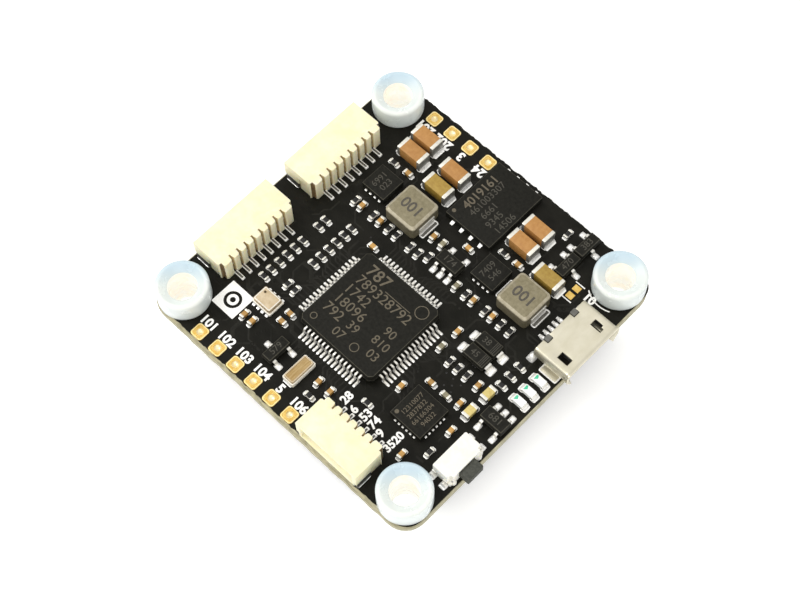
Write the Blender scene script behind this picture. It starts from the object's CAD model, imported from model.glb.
"""Looks of the flight controller board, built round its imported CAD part.

Sizes are in millimetres unless a name says otherwise; meshes are scaled to metres when made.
"""

import bmesh
import bpy
import itertools
import math
import random
from mathutils import Matrix, Vector


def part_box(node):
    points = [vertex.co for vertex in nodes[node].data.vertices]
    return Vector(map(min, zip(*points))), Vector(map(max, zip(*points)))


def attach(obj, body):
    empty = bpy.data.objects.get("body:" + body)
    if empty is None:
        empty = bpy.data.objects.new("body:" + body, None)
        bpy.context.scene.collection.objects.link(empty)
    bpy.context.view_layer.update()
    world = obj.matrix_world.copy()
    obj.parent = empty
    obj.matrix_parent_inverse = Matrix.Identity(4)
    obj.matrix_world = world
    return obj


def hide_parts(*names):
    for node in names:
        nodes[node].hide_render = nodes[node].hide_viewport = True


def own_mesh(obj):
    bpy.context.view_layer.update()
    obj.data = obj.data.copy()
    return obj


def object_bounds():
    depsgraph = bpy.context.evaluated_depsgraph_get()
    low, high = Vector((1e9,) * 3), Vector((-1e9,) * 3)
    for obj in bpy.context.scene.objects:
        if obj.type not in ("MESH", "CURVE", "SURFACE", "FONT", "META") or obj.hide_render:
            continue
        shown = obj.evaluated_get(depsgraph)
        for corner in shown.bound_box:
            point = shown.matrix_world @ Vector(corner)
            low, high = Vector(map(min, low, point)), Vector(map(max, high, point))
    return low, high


MM = 0.001
FIXED = "board_assembly"
MOVING = "button_plunger"

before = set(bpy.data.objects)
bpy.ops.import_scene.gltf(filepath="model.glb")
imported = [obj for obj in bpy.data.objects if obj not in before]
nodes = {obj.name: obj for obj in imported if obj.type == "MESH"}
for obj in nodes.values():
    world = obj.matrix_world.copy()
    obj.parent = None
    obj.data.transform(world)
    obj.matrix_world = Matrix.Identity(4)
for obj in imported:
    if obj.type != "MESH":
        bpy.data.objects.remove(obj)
cad_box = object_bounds()
random.seed(7)

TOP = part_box("circuit_board")[1].z / MM
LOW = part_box("circuit_board")[0].z / MM
EDGE_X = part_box("circuit_board")[1].x / MM
EDGE_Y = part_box("circuit_board")[1].y / MM


# ---------------------------------------------------------------- reading the CAD part
def node_box(node):
    """Lowest and highest corner of a CAD node."""
    return [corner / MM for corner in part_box(node)]


def solids(node):
    """Boxes (low corner, high corner) of the separate solids of a CAD node."""
    mesh = nodes[node].data
    place = {}
    index = []
    for v in mesh.vertices:
        key = tuple(round(c / MM, 3) for c in v.co)
        index.append(place.setdefault(key, len(place)))
    parent = list(range(len(place)))

    def root(i):
        while parent[i] != i:
            parent[i] = parent[parent[i]]
            i = parent[i]
        return i

    for polygon in mesh.polygons:
        first = root(index[polygon.vertices[0]])
        for v in polygon.vertices[1:]:
            parent[root(index[v])] = first
    groups = {}
    for key, i in place.items():
        groups.setdefault(root(i), []).append(key)
    boxes = [(Vector(map(min, *points)), Vector(map(max, *points))) for points in groups.values()]
    boxes.sort(key=lambda b: (round(b[0].x, 2), round(b[0].y, 2), round(b[0].z, 2)))
    return boxes


def middle(box):
    return (box[0] + box[1]) / 2


def size(box):
    return box[1] - box[0]


def nearest(node, point):
    """The solid of a CAD node whose middle is nearest to a point, seen from above."""
    return min(solids(node), key=lambda box: (middle(box).xy - point.xy).length)


# ---------------------------------------------------------------- materials
def feed(tree, entry, value):
    """Links a socket to a node's input, or sets the input to a plain value."""
    if isinstance(value, bpy.types.NodeSocket):
        tree.links.new(value, entry)
    else:
        entry.default_value = value


def add_node(tree, kind, **values):
    """Shader node with its settings and inputs; spaces in an input's name are underscores."""
    node = tree.nodes.new("ShaderNode" + kind)
    for key, value in values.items():
        if hasattr(node, key):
            setattr(node, key, value)
        else:
            feed(tree, node.inputs[key.replace("_", " ")], value)
    return node


def ranged(tree, source, low, high, to_low=0.0, to_high=1.0, **settings):
    """Maps one range of values on another."""
    node = add_node(tree, "MapRange", Value=source, From_Min=low, From_Max=high,
                    To_Min=to_low, To_Max=to_high, **settings)
    return node.outputs["Result"]


def mixed(tree, first, second, factor):
    """Mixes two colours, each a socket or three numbers."""
    colors = [c if isinstance(c, bpy.types.NodeSocket) else (*c, 1) for c in (first, second)]
    node = add_node(tree, "Mix", data_type="RGBA", A=colors[0], B=colors[1], Factor=factor)
    return node.outputs["Result"]


def dimmed(tree, color, share):
    """Scales the brightness of a colour."""
    return add_node(tree, "HueSaturation", Color=color, Value=share).outputs["Color"]


HOLE_REACH = 15.25            # mounting holes are this far from both middle lines of the board
FAR_SIDE = (-0.725, 0.689)    # direction across the board, away from the viewer


def far_share(tree, place):
    """0 on the viewer's side of each mounting hole and 1 on its far side."""

    def vector_math(operation, *values):
        node = add_node(tree, "VectorMath", operation=operation)
        for entry, value in zip(node.inputs, values):
            feed(tree, entry, value)
        return node.outputs["Value" if operation == "DOT_PRODUCT" else "Vector"]

    hole = (HOLE_REACH * MM, HOLE_REACH * MM, 0)
    local = vector_math("SUBTRACT", vector_math("ABSOLUTE", place), hole)
    unfolded = vector_math("MULTIPLY", local, vector_math("SIGN", place))
    away = vector_math("DOT_PRODUCT", unfolded, (*FAR_SIDE, 0))
    return ranged(tree, away, -0.6 * MM, 2.4 * MM, interpolation_type="SMOOTHSTEP")


def surface(name, color, second, rough=(0.35, 0.6), metal=0.0, grain=3, mix_at=(0.35, 0.65), bump=0.15,
            bump_scale=12, bump_depth=0.01, stretch=(1, 1, 1), island=0.0, wear=None, wear_amount=0.4,
            coat=0.0, subsurface=0.0, warmth=(1.0, 1.0, 1.0), transmission=0.0, specular=0.5,
            emission=0.0, edge_tint=None, far_tint=None, upright=1.0):
    """Procedural surface: two colours mixed by noise, uneven roughness, grain bump and worn patches."""
    material = bpy.data.materials.new(name)
    material.use_nodes = True
    tree = material.node_tree
    place = add_node(tree, "TexCoord").outputs["Object"]
    scaled = add_node(tree, "Mapping", Vector=place, Scale=[s / MM for s in stretch]).outputs["Vector"]

    def noise(scale, detail, roughness=0.6):
        node = add_node(tree, "TexNoise", Vector=scaled, Scale=scale, Detail=detail, Roughness=roughness)
        return node.outputs["Fac"]

    result = mixed(tree, color, second, ranged(tree, noise(grain, 4), *mix_at))
    if island:
        chance = add_node(tree, "NewGeometry").outputs["Random Per Island"]
        result = dimmed(tree, result, ranged(tree, chance, 0, 1, 1 - island, 1 + island))
    if wear:
        marks = ranged(tree, noise(grain * 0.4, 8, 0.75), 0.56, 0.7, 0, wear_amount)
        result = mixed(tree, result, wear, marks)
    if edge_tint:
        result = mixed(tree, result, edge_tint, add_node(tree, "LayerWeight", Blend=0.45).outputs["Facing"])
    if far_tint:
        result = mixed(tree, result, far_tint, far_share(tree, place))
    if upright != 1.0:
        normal = add_node(tree, "NewGeometry").outputs["Normal"]
        rise = add_node(tree, "SeparateXYZ", Vector=normal).outputs["Z"]
        result = dimmed(tree, result, ranged(tree, rise, 0.2, 0.8, upright, 1.0))
    values = {
        "Base Color": result, "Metallic": metal, "Coat Weight": coat, "Coat Roughness": 0.15,
        "Roughness": ranged(tree, noise(grain * 1.7, 5), 0.3, 0.7, *rough), "Specular IOR Level": specular,
    }
    if bump:
        height = add_node(tree, "Bump", Strength=bump, Distance=bump_depth * MM, Height=noise(bump_scale, 6))
        values["Normal"] = height.outputs["Normal"]
    if subsurface:
        values.update({"Subsurface Weight": subsurface, "Subsurface Radius": warmth,
                       "Subsurface Scale": 0.8 * MM})
    if transmission:
        values.update({"Transmission Weight": transmission, "IOR": 1.4})
    if emission:
        values.update({"Emission Color": (*color, 1), "Emission Strength": emission})
    for key, value in values.items():
        feed(tree, tree.nodes["Principled BSDF"].inputs[key], value)
    return material


MASK = surface("solder_mask", (0.0055, 0.0052, 0.0032), (0.010, 0.0093, 0.0065), (0.35, 0.55), grain=0.5,
               bump=0.3, bump_scale=4, bump_depth=0.02, stretch=(1, 1.6, 1), wear=(0.022, 0.020, 0.015),
               wear_amount=0.3, specular=0.12)
TRACK = surface("masked_track", (0.009, 0.0085, 0.006), (0.016, 0.015, 0.011), (0.35, 0.5), grain=1.5,
                bump=0.2, bump_scale=6, wear=(0.006, 0.0055, 0.004), wear_amount=0.5, specular=0.15)
LAMINATE = surface("laminate_edge", (0.55, 0.51, 0.34), (0.32, 0.295, 0.19), (0.55, 0.85), grain=1.6,
                   bump=0.7, bump_scale=4, bump_depth=0.08, stretch=(0.6, 0.6, 4),
                   wear=(0.66, 0.64, 0.52), wear_amount=0.6)
INK = surface("white_ink", (0.93, 0.92, 0.89), (0.83, 0.82, 0.79), (0.55, 0.75), grain=5, bump=0.2,
              bump_scale=20, wear=(0.5, 0.49, 0.48), wear_amount=0.25, emission=0.12)
gilt = {"grain": 2.5, "bump": 0.12, "bump_scale": 8}
GOLD = surface("gold_plating", (0.72, 0.45, 0.10), (0.84, 0.60, 0.20), (0.2, 0.4), 0.9,
               wear=(0.62, 0.36, 0.12), **gilt)
GOLD_DIP = surface("gold_dimple", (0.92, 0.74, 0.36), (0.97, 0.86, 0.58), (0.25, 0.4), 0.55,
                   wear=(0.78, 0.52, 0.2), wear_amount=0.5, **gilt)
GOLD_RIM = surface("gold_rim", (0.95, 0.74, 0.30), (0.98, 0.82, 0.42), (0.25, 0.4), 0.7,
                   wear=(0.80, 0.52, 0.2), **gilt)
SOLDER = surface("solder", (0.96, 0.95, 0.92), (0.84, 0.83, 0.80), (0.2, 0.4), 0.5, bump=0.12,
                 bump_scale=7, bump_depth=0.02, island=0.06, wear=(0.70, 0.68, 0.62), wear_amount=0.3,
                 emission=0.1)
TIN = surface("tin_plating", (0.92, 0.90, 0.84), (0.77, 0.75, 0.69), (0.25, 0.45), 0.65, 4, bump=0.1,
              island=0.08, wear=(0.66, 0.62, 0.54), wear_amount=0.35)
TIN_DULL = surface("dull_plating", (0.15, 0.145, 0.13), (0.09, 0.085, 0.075), (0.3, 0.5), 0.7, 4,
                   bump=0.1, wear=(0.40, 0.38, 0.34))
TIN_CAP = surface("plated_end", (0.88, 0.86, 0.78), (0.74, 0.72, 0.64), (0.25, 0.45), 0.6, 4, bump=0.1,
                  island=0.08, wear=(0.60, 0.56, 0.47), wear_amount=0.35, upright=0.42)
EPOXY = surface("moulded_epoxy", (0.0095, 0.0092, 0.007), (0.016, 0.0152, 0.0118), (0.55, 0.8), bump=0.4,
                bump_scale=16, bump_depth=0.012, wear=(0.024, 0.0225, 0.018), wear_amount=0.3,
                island=0.12, specular=0.14)
EPOXY_EDGE = surface("epoxy_edge", (0.045, 0.042, 0.031), (0.07, 0.065, 0.048), (0.5, 0.7), bump=0.3,
                     bump_scale=16, bump_depth=0.012, wear=(0.02, 0.019, 0.015), specular=0.2)
printed = {"rough": (0.7, 0.9), "grain": 9, "bump": 0.3, "bump_scale": 30, "wear_amount": 0.5}
LASER = surface("laser_mark", (0.15, 0.125, 0.085), (0.095, 0.08, 0.055), wear=(0.05, 0.045, 0.035),
                **printed)
DIM_LASER = surface("faint_laser_mark", (0.072, 0.066, 0.05), (0.048, 0.044, 0.034),
                    wear=(0.03, 0.027, 0.022), **printed)
large_ceramic = {"grain": 2.2, "bump_scale": 9, "island": 0.08}
CERAMIC = surface("capacitor_ceramic", (0.42, 0.195, 0.048), (0.49, 0.245, 0.07),
                  wear=(0.30, 0.13, 0.045), wear_amount=0.5, **large_ceramic)
OLIVE = surface("filter_ceramic", (0.33, 0.20, 0.03), (0.41, 0.27, 0.05), wear=(0.24, 0.15, 0.04),
                wear_amount=0.45, **large_ceramic)
CAP_TAN = surface("small_capacitor_ceramic", (0.52, 0.29, 0.075), (0.40, 0.22, 0.06), grain=4,
                  island=0.2, wear=(0.30, 0.14, 0.05), wear_amount=0.3)
PALE_TAN = surface("supply_ceramic", (0.60, 0.46, 0.14), (0.70, 0.58, 0.22), island=0.08,
                   wear=(0.42, 0.30, 0.09))
BEAD = surface("bead_ferrite", (0.20, 0.18, 0.11), (0.30, 0.27, 0.17), (0.4, 0.6), grain=4, bump=0.2,
               bump_scale=16, island=0.2, wear=(0.1, 0.09, 0.06))
OVERCOAT = surface("resistor_overcoat", (0.010, 0.010, 0.010), (0.02, 0.019, 0.018), (0.3, 0.5), grain=5,
                   bump=0.2, bump_scale=20, island=0.3, specular=0.3, wear=(0.05, 0.048, 0.044),
                   wear_amount=0.35)
ALUMINA = surface("resistor_ceramic", (0.75, 0.74, 0.70), (0.62, 0.60, 0.56), (0.5, 0.7), grain=5,
                  bump=0.2, bump_scale=20, wear=(0.45, 0.43, 0.4), wear_amount=0.3)
CORE = surface("inductor_core", (0.20, 0.172, 0.098), (0.27, 0.235, 0.145), (0.5, 0.7), 0.1, 2.5,
               bump=0.35, bump_scale=14, bump_depth=0.02, wear=(0.24, 0.21, 0.17), wear_amount=0.5,
               upright=0.6)
CORE_RIM = surface("inductor_rim", (0.37, 0.325, 0.225), (0.50, 0.455, 0.34), (0.35, 0.55), 0.3, 2.5,
                   bump=0.2, wear=(0.40, 0.33, 0.2), wear_amount=0.5)
MARKING = surface("printed_mark", (0.06, 0.052, 0.04), (0.10, 0.088, 0.07), (0.6, 0.8), grain=8,
                  bump=0.2, bump_scale=30, wear=(0.2, 0.18, 0.14))
LID = surface("sensor_lid", (0.54, 0.42, 0.26), (0.66, 0.54, 0.37), (0.3, 0.5), 0.5, 1.6, bump=0.12,
              wear=(0.45, 0.35, 0.22), wear_amount=0.5)
CRYSTAL_LID = surface("crystal_plating", (0.36, 0.23, 0.085), (0.50, 0.36, 0.17), (0.25, 0.45), 0.75,
                      1.8, stretch=(3, 0.4, 1), wear=(0.62, 0.48, 0.28), wear_amount=0.6)
PALE_CERAMIC = surface("pale_ceramic", (0.90, 0.85, 0.74), (0.95, 0.92, 0.84), (0.3, 0.5),
                       wear=(0.7, 0.62, 0.5), wear_amount=0.35)
NYLON = surface("socket_nylon", (0.9, 0.83, 0.54), (0.93, 0.88, 0.64), (0.42, 0.58), grain=0.6,
                bump_scale=6, bump_depth=0.015, wear=(0.82, 0.72, 0.48), wear_amount=0.3,
                subsurface=0.3, warmth=(1.0, 0.72, 0.36))
shaded_nylon = {"grain": 1.5, "bump_scale": 6, "wear_amount": 0.6}
NYLON_SHADE = surface("nylon_in_corner", (0.15, 0.095, 0.04), (0.27, 0.18, 0.08), (0.6, 0.8),
                      wear=(0.42, 0.32, 0.16), **shaded_nylon)
NYLON_SLOT = surface("nylon_in_slots", (0.50, 0.38, 0.18), (0.66, 0.53, 0.29), (0.5, 0.7),
                     wear=(0.22, 0.15, 0.06), **shaded_nylon)
STEEL = surface("shell_plating", (0.66, 0.62, 0.48), (0.74, 0.7, 0.57), (0.3, 0.46), 0.85, 0.8,
                bump=0.12, bump_scale=6, bump_depth=0.02, stretch=(1, 0.5, 1), wear=(0.58, 0.54, 0.46),
                wear_amount=0.35)
DARK_STEEL = surface("shell_inside", (0.035, 0.032, 0.028), (0.06, 0.055, 0.048), (0.5, 0.7), 0.6, 2,
                     bump=0.2, bump_scale=9, wear=(0.1, 0.09, 0.08))
BLACK = surface("black_insulator", (0.012, 0.011, 0.011), (0.022, 0.02, 0.02), (0.4, 0.6), bump=0.3,
                bump_scale=20, wear=(0.06, 0.055, 0.05), wear_amount=0.3)
GREY_BLOCK = surface("grey_insulator", (0.10, 0.10, 0.09), (0.15, 0.145, 0.13), (0.5, 0.7), bump=0.3,
                     bump_scale=20, wear=(0.2, 0.19, 0.17), wear_amount=0.3)
CREAM = surface("button_body", (0.90, 0.87, 0.77), (0.94, 0.92, 0.85), (0.35, 0.5), grain=1.2,
                bump=0.12, bump_scale=10, wear=(0.80, 0.73, 0.6), wear_amount=0.3, subsurface=0.2,
                warmth=(1.0, 0.8, 0.5))
PLUNGER = surface("plunger_plastic", (0.048, 0.050, 0.042), (0.078, 0.080, 0.066), (0.6, 0.85), grain=4,
                  bump=0.9, bump_scale=9, bump_depth=0.04, wear=(0.11, 0.11, 0.10), specular=0.3)
soft = {"bump": 0.1, "bump_scale": 1.5, "bump_depth": 0.03}
SILICONE = surface("soft_silicone", (0.80, 0.84, 0.80), (0.84, 0.86, 0.81), (0.18, 0.32), grain=0.35,
                   wear=(0.74, 0.80, 0.83), wear_amount=0.6, subsurface=0.5, transmission=0.1,
                   emission=0.06, specular=0.4, edge_tint=(0.72, 0.79, 0.81),
                   far_tint=(0.55, 0.68, 0.76), **soft)
SILICONE_LOW = surface("silicone_near_floor", (0.86, 0.88, 0.85), (0.88, 0.90, 0.86), (0.18, 0.32),
                       grain=0.35, wear=(0.80, 0.85, 0.88), wear_amount=0.6, subsurface=0.5,
                       emission=0.3, specular=0.4, **soft)
SILICONE_BORE = surface("silicone_bore", (0.84, 0.84, 0.80), (0.88, 0.81, 0.70), (0.2, 0.35), grain=0.5,
                        mix_at=(0.45, 0.6), wear=(0.72, 0.78, 0.85), wear_amount=0.5, subsurface=0.4,
                        emission=0.2, specular=0.3, **soft)
LED_BODY = surface("light_body", (0.92, 0.93, 0.90), (0.84, 0.86, 0.83), (0.35, 0.5), grain=4,
                   bump_scale=14, wear=(0.80, 0.72, 0.66))
LED_LENS = surface("light_lens", (0.92, 0.94, 0.89), (0.96, 0.97, 0.94), (0.2, 0.35), bump=0.12,
                   bump_scale=14, wear=(0.88, 0.80, 0.74), subsurface=0.4, coat=0.3, emission=0.08)
GREEN = surface("polarity_paint", (0.04, 0.50, 0.27), (0.10, 0.62, 0.38), (0.35, 0.5), grain=6,
                bump=0.2, bump_scale=20, wear=(0.35, 0.72, 0.52), wear_amount=0.3)
SPRING = surface("spring_sheet", (0.70, 0.69, 0.67), (0.58, 0.57, 0.55), (0.2, 0.35), 1.0, 2, bump=0.2,
                 bump_scale=15, stretch=(1, 3, 1), wear=(0.45, 0.44, 0.42))
FLOOR = surface("pale_floor", (0.90, 0.90, 0.90), (0.92, 0.92, 0.92), (0.7, 0.85), grain=0.02, bump=0.05,
                bump_scale=0.5, emission=0.3)


# ---------------------------------------------------------------- mesh helpers
class Build:
    """Collects templates (points and faces) in millimetres and turns them into one object."""

    def __init__(self):
        self.points = []
        self.faces = []
        self.looks = []
        self.materials = []

    def look(self, material):
        if material not in self.materials:
            self.materials.append(material)
        return self.materials.index(material)

    def add(self, template, material, matrix=None):
        """Adds a template in one material, or in a list of materials with one entry for each face."""
        points, faces = template
        start = len(self.points)
        for p in points:
            v = Vector(p)
            self.points.append(matrix @ v if matrix else v)
        for k, face in enumerate(faces):
            self.faces.append([start + i for i in face])
            self.looks.append(self.look(material[k] if isinstance(material, list) else material))

    def finish(self, name, replaces=(), body=FIXED, angle=40):
        """Makes the object, which stands in for CAD nodes and rides on a body."""
        mesh = bpy.data.meshes.new(name)
        mesh.from_pydata([p * MM for p in self.points], [], self.faces)
        for material in self.materials:
            mesh.materials.append(material)
        mesh.polygons.foreach_set("material_index", self.looks)
        mesh.validate()
        mesh.polygons.foreach_set("use_smooth", [True] * len(mesh.polygons))
        mesh.set_sharp_from_angle(angle=math.radians(angle))
        mesh.update()
        obj = bpy.data.objects.new(name, mesh)
        bpy.context.scene.collection.objects.link(obj)
        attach(obj, body)
        for node in replaces:
            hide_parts(node)
        return obj


def from_bmesh(bm):
    bm.verts.ensure_lookup_table()
    bm.verts.index_update()
    points = [v.co.copy() for v in bm.verts]
    faces = [[v.index for v in f.verts] for f in bm.faces]
    bm.free()
    return points, faces


def soft_box(corner, opposite, radius=0.05, segments=2):
    """Box between two opposite corners with rounded edges."""
    bm = bmesh.new()
    bmesh.ops.create_cube(bm, size=1)
    low = Vector(map(min, corner, opposite))
    span = Vector(map(max, corner, opposite)) - low
    for v in bm.verts:
        v.co = Vector([low[k] + (v.co[k] + 0.5) * span[k] for k in range(3)])
    bmesh.ops.bevel(bm, geom=bm.edges[:], offset=min(radius, min(span) * 0.45), segments=segments,
                    profile=0.5, affect="EDGES", clamp_overlap=True)
    return from_bmesh(bm)


def plain_box(corner, opposite):
    """Box whose edges are all but sharp."""
    return soft_box(corner, opposite, 0.001, 1)


def prism(outline, z0, z1):
    """Outline in the XY plane pushed up from z0 to z1."""
    bm = bmesh.new()
    base, top = [[bm.verts.new((x, y, z)) for x, y in outline] for z in (z0, z1)]
    bm.faces.new(base[::-1])
    bm.faces.new(top)
    for i in range(len(outline)):
        j = (i + 1) % len(outline)
        bm.faces.new((base[i], base[j], top[j], top[i]))
    bmesh.ops.recalc_face_normals(bm, faces=bm.faces[:])
    return from_bmesh(bm)


def lathe(profile, steps=48):
    """Closed (radius, height) profile turned about Z; the profile runs upwards on its outer side."""
    count = len(profile)
    points = []
    faces = []
    for i in range(steps):
        angle = 2 * math.pi * i / steps
        points += [(r * math.cos(angle), r * math.sin(angle), z) for r, z in profile]
        j = (i + 1) % steps
        for k in range(count):
            m = (k + 1) % count
            faces.append((i * count + k, j * count + k, j * count + m, i * count + m))
    return points, faces


def tube_between(loops, capped=False):
    """Skin over a row of closed loops, with or without its two ends."""
    points = [p for loop in loops for p in loop]
    count = len(loops[0])
    faces = []
    for i in range(len(loops) - 1):
        for k in range(count):
            m = (k + 1) % count
            faces.append((i * count + k, i * count + m, (i + 1) * count + m, (i + 1) * count + k))
    if capped:
        faces.append(tuple(range(count))[::-1])
        faces.append(tuple(range(len(points) - count, len(points))))
    return points, faces


def turned_over(template):
    """The same template with its faces looking the other way."""
    points, faces = template
    return points, [face[::-1] for face in faces]


def solder_sheet(along, across, spot):
    """Closed lump under a grid of points; spot(u, v) gives a point for u in 0..1 and v in -1..1."""
    row = across + 1
    points = [spot(i / along, -1 + 2 * j / across) for i in range(along + 1) for j in range(row)]
    start = len(points)
    points += [(x, y, 0.0) for x, y, _ in points]
    faces = []
    for i in range(along):
        for j in range(across):
            a = i * row + j
            faces.append((a, a + row, a + row + 1, a + 1))
            faces.append((start + a, start + a + 1, start + a + row + 1, start + a + row))
    rim = [i * row for i in range(along)]
    rim += [along * row + j for j in range(across)]
    rim += [i * row + across for i in range(along, 0, -1)]
    rim += [j for j in range(across, 0, -1)]
    for a, b in zip(rim, rim[1:] + rim[:1]):
        faces.append((a, a + start, b + start, b))
    return points, faces


def mound(width, length, height, steps=6):
    """Solder mound over a rectangle: steep sides and a rounded top."""

    def spot(share, v):
        u = 2 * share - 1
        rise = (1 - abs(u) ** 2.5) * (1 - abs(v) ** 2.5)
        corner = 1 - 0.12 * (abs(u) * abs(v)) ** 3
        return u * length / 2 * corner, v * width / 2 * corner, 0.01 + height * rise

    return solder_sheet(steps, steps, spot)


def fillet(width, reach, height, across=6, along=5):
    """Hollow solder fillet rising towards x = 0 from a toe at x = reach."""

    def spot(u, v):
        rise = (1 - u) ** 2.2 * (1 - 0.35 * abs(v) ** 3)
        return u * reach, v * width / 2 * (1 - 0.15 * u ** 3), 0.02 + height * rise

    return solder_sheet(along, across, spot)


def at(x, y, z=0.0, turn=0.0):
    return Matrix.Translation((x, y, z)) @ Matrix.Rotation(math.radians(turn), 4, "Z")


def curve_template(curve, place):
    """Mesh of a curve, moved by a matrix; the curve itself is removed again."""
    obj = bpy.data.objects.new(curve.name, curve)
    bpy.context.scene.collection.objects.link(obj)
    bpy.context.view_layer.update()
    mesh = bpy.data.meshes.new_from_object(obj)
    points = [place @ v.co for v in mesh.vertices]
    faces = [list(p.vertices) for p in mesh.polygons]
    bpy.data.objects.remove(obj)
    bpy.data.curves.remove(curve)
    bpy.data.meshes.remove(mesh)
    return points, faces


def flat_shape(loops, z, thickness, bevel=0.0):
    """Plate standing on z; the first loop is its outline and the others are holes."""
    curve = bpy.data.curves.new("flat", "CURVE")
    curve.dimensions = "2D"
    curve.fill_mode = "BOTH"
    curve.extrude = max(thickness / 2 - bevel, 0.0005)
    curve.bevel_depth = bevel
    curve.bevel_resolution = 1
    curve.offset = -bevel
    for loop in loops:
        spline = curve.splines.new("POLY")
        spline.points.add(len(loop) - 1)
        for point, (x, y) in zip(spline.points, loop):
            point.co = (x, y, 0, 1)
        spline.use_cyclic_u = True
    return curve_template(curve, at(0, 0, z + thickness / 2))


def letters(text, x, y, height, turn=0.0, z=None, thick=0.022, bold=0.012):
    """Digits and signs as thin raised shapes, centred on (x, y)."""
    curve = bpy.data.curves.new("text", "FONT")
    curve.body = text
    curve.size = height * 1.38
    curve.align_x = "CENTER"
    curve.align_y = "CENTER"
    curve.extrude = thick / 2
    curve.offset = bold
    curve.resolution_u = 3
    return curve_template(curve, at(x, y, (TOP if z is None else z) + thick / 2, turn))


def circle(x, y, r, steps=24):
    angles = [2 * math.pi * i / steps for i in range(steps)]
    return [(x + r * math.cos(a), y + r * math.sin(a)) for a in angles]


def round_rect(x0, y0, x1, y1, r, steps=5):
    points = []
    centres = ((x1 - r, y1 - r), (x0 + r, y1 - r), (x0 + r, y0 + r), (x1 - r, y0 + r))
    for corner, (x, y) in enumerate(centres):
        for i in range(steps + 1):
            angle = math.radians(90 * corner + 90 * i / steps)
            points.append((x + r * math.cos(angle), y + r * math.sin(angle)))
    return points


def inner_rect(box, inset, r, steps=5):
    """Rounded outline of a box seen from above, drawn in by an inset."""
    low, high = box
    return round_rect(low.x + inset, low.y + inset, high.x - inset, high.y - inset, r, steps)


def applied(obj):
    """Makes an object's modifiers part of its mesh, with no more materials than it had."""
    bpy.context.view_layer.update()
    result = bpy.data.meshes.new_from_object(obj.evaluated_get(bpy.context.evaluated_depsgraph_get()))
    obj.modifiers.clear()
    count = len(obj.data.materials)
    obj.data = result
    while len(result.materials) > count:
        result.materials.pop()


def cut(obj, cutters):
    """Takes templates out of an object's mesh."""
    build = Build()
    for template in cutters:
        build.add(template, BLACK)
    mesh = bpy.data.meshes.new("cutter")
    mesh.from_pydata([p * MM for p in build.points], [], build.faces)
    tool = bpy.data.objects.new("cutter", mesh)
    bpy.context.scene.collection.objects.link(tool)
    change = obj.modifiers.new("cut", "BOOLEAN")
    change.object = tool
    change.operation = "DIFFERENCE"
    change.solver = "EXACT"
    change.use_self = True
    applied(obj)
    bpy.data.objects.remove(tool)


def soften(obj, width, segments=2, angle=35):
    """Rounds the sharp edges of a finished object."""
    bevel = obj.modifiers.new("soften", "BEVEL")
    bevel.width = width * MM
    bevel.segments = segments
    bevel.limit_method = "ANGLE"
    bevel.angle_limit = math.radians(angle)
    applied(obj)
    obj.data.polygons.foreach_set("use_smooth", [True] * len(obj.data.polygons))
    obj.data.set_sharp_from_angle(angle=math.radians(50))


# ---------------------------------------------------------------- board
GROMMETS = [middle(b).xy for b in solids("mounting_grommets")]
GROMMET_HOLE = 2.0            # radius
BARREL = 0.5                  # radius of the plated wire holes
PADS = [middle(b).xy for node in ("signal_pads", "power_pads") for b in solids(node)]
MASK_DEPTH = 0.035
CORNER = 2.3                  # radius of the board's corners
EDGE_BEVEL = 0.28
EDGE_LAYERS = 4
OVERHANG = 0.1                # the mask hides the laminate along the +Y edge
MASK_INSET = 0.34


def board_outline(inset_x, inset_low, inset_high, radius, wobble, step=0.35):
    """Rounded square whose -Y and +Y edges are uneven where the panel was snapped."""
    x1 = EDGE_X - inset_x
    corners = round_rect(-x1, inset_low - EDGE_Y, x1, EDGE_Y - inset_high, radius, 8)
    points = []
    for i, (x, y) in enumerate(corners):
        points.append((x, y))
        nx, ny = corners[(i + 1) % len(corners)]
        if abs(ny - y) < 1e-6 and abs(nx - x) > 5:
            count = int(abs(nx - x) / step)
            for k in range(1, count):
                swing = wobble * (math.sin(k * 0.9) * 0.5 + random.uniform(-1, 0.6))
                points.append((x + (nx - x) * k / count, y + (swing if y < 0 else -swing)))
    return points


board_holes = [circle(g.x, g.y, GROMMET_HOLE, 32) for g in GROMMETS]
board_holes += [circle(p.x, p.y, BARREL, 16) for p in PADS]
board = Build()
core = board_outline(0.01, 0.03, 0.03, CORNER, 0.03)
board.add(flat_shape([core] + board_holes, LOW + EDGE_BEVEL, TOP - LOW - 2 * EDGE_BEVEL), LAMINATE)
lower_bevel = (LOW + MASK_DEPTH, LOW + EDGE_BEVEL, False)
upper_bevel = (TOP - EDGE_BEVEL, TOP - MASK_DEPTH, True)
for z0, z1, upper in (lower_bevel, upper_bevel):
    thick = (z1 - z0) / EDGE_LAYERS
    for k in range(EDGE_LAYERS):
        share = (k + 0.5) / EDGE_LAYERS
        inset = EDGE_BEVEL * (share if upper else 1 - share)
        outline = board_outline(0.01, 0.03 + inset, 0.03 + (OVERHANG if upper else inset), CORNER, 0.05)
        z = z0 + (z1 - z0) * k / EDGE_LAYERS
        board.add(flat_shape([outline] + board_holes, z, thick + 0.001), LAMINATE)
for z, far, wobble in ((LOW, MASK_INSET, 0.1), (TOP - MASK_DEPTH, 0.06, 0.07)):
    outline = board_outline(0.1, MASK_INSET, far, CORNER - 0.45, wobble, 0.3)
    board.add(flat_shape([outline] + board_holes, z, MASK_DEPTH), MASK)
board.finish("board_laminate_and_mask", ["circuit_board"], angle=30)

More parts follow.
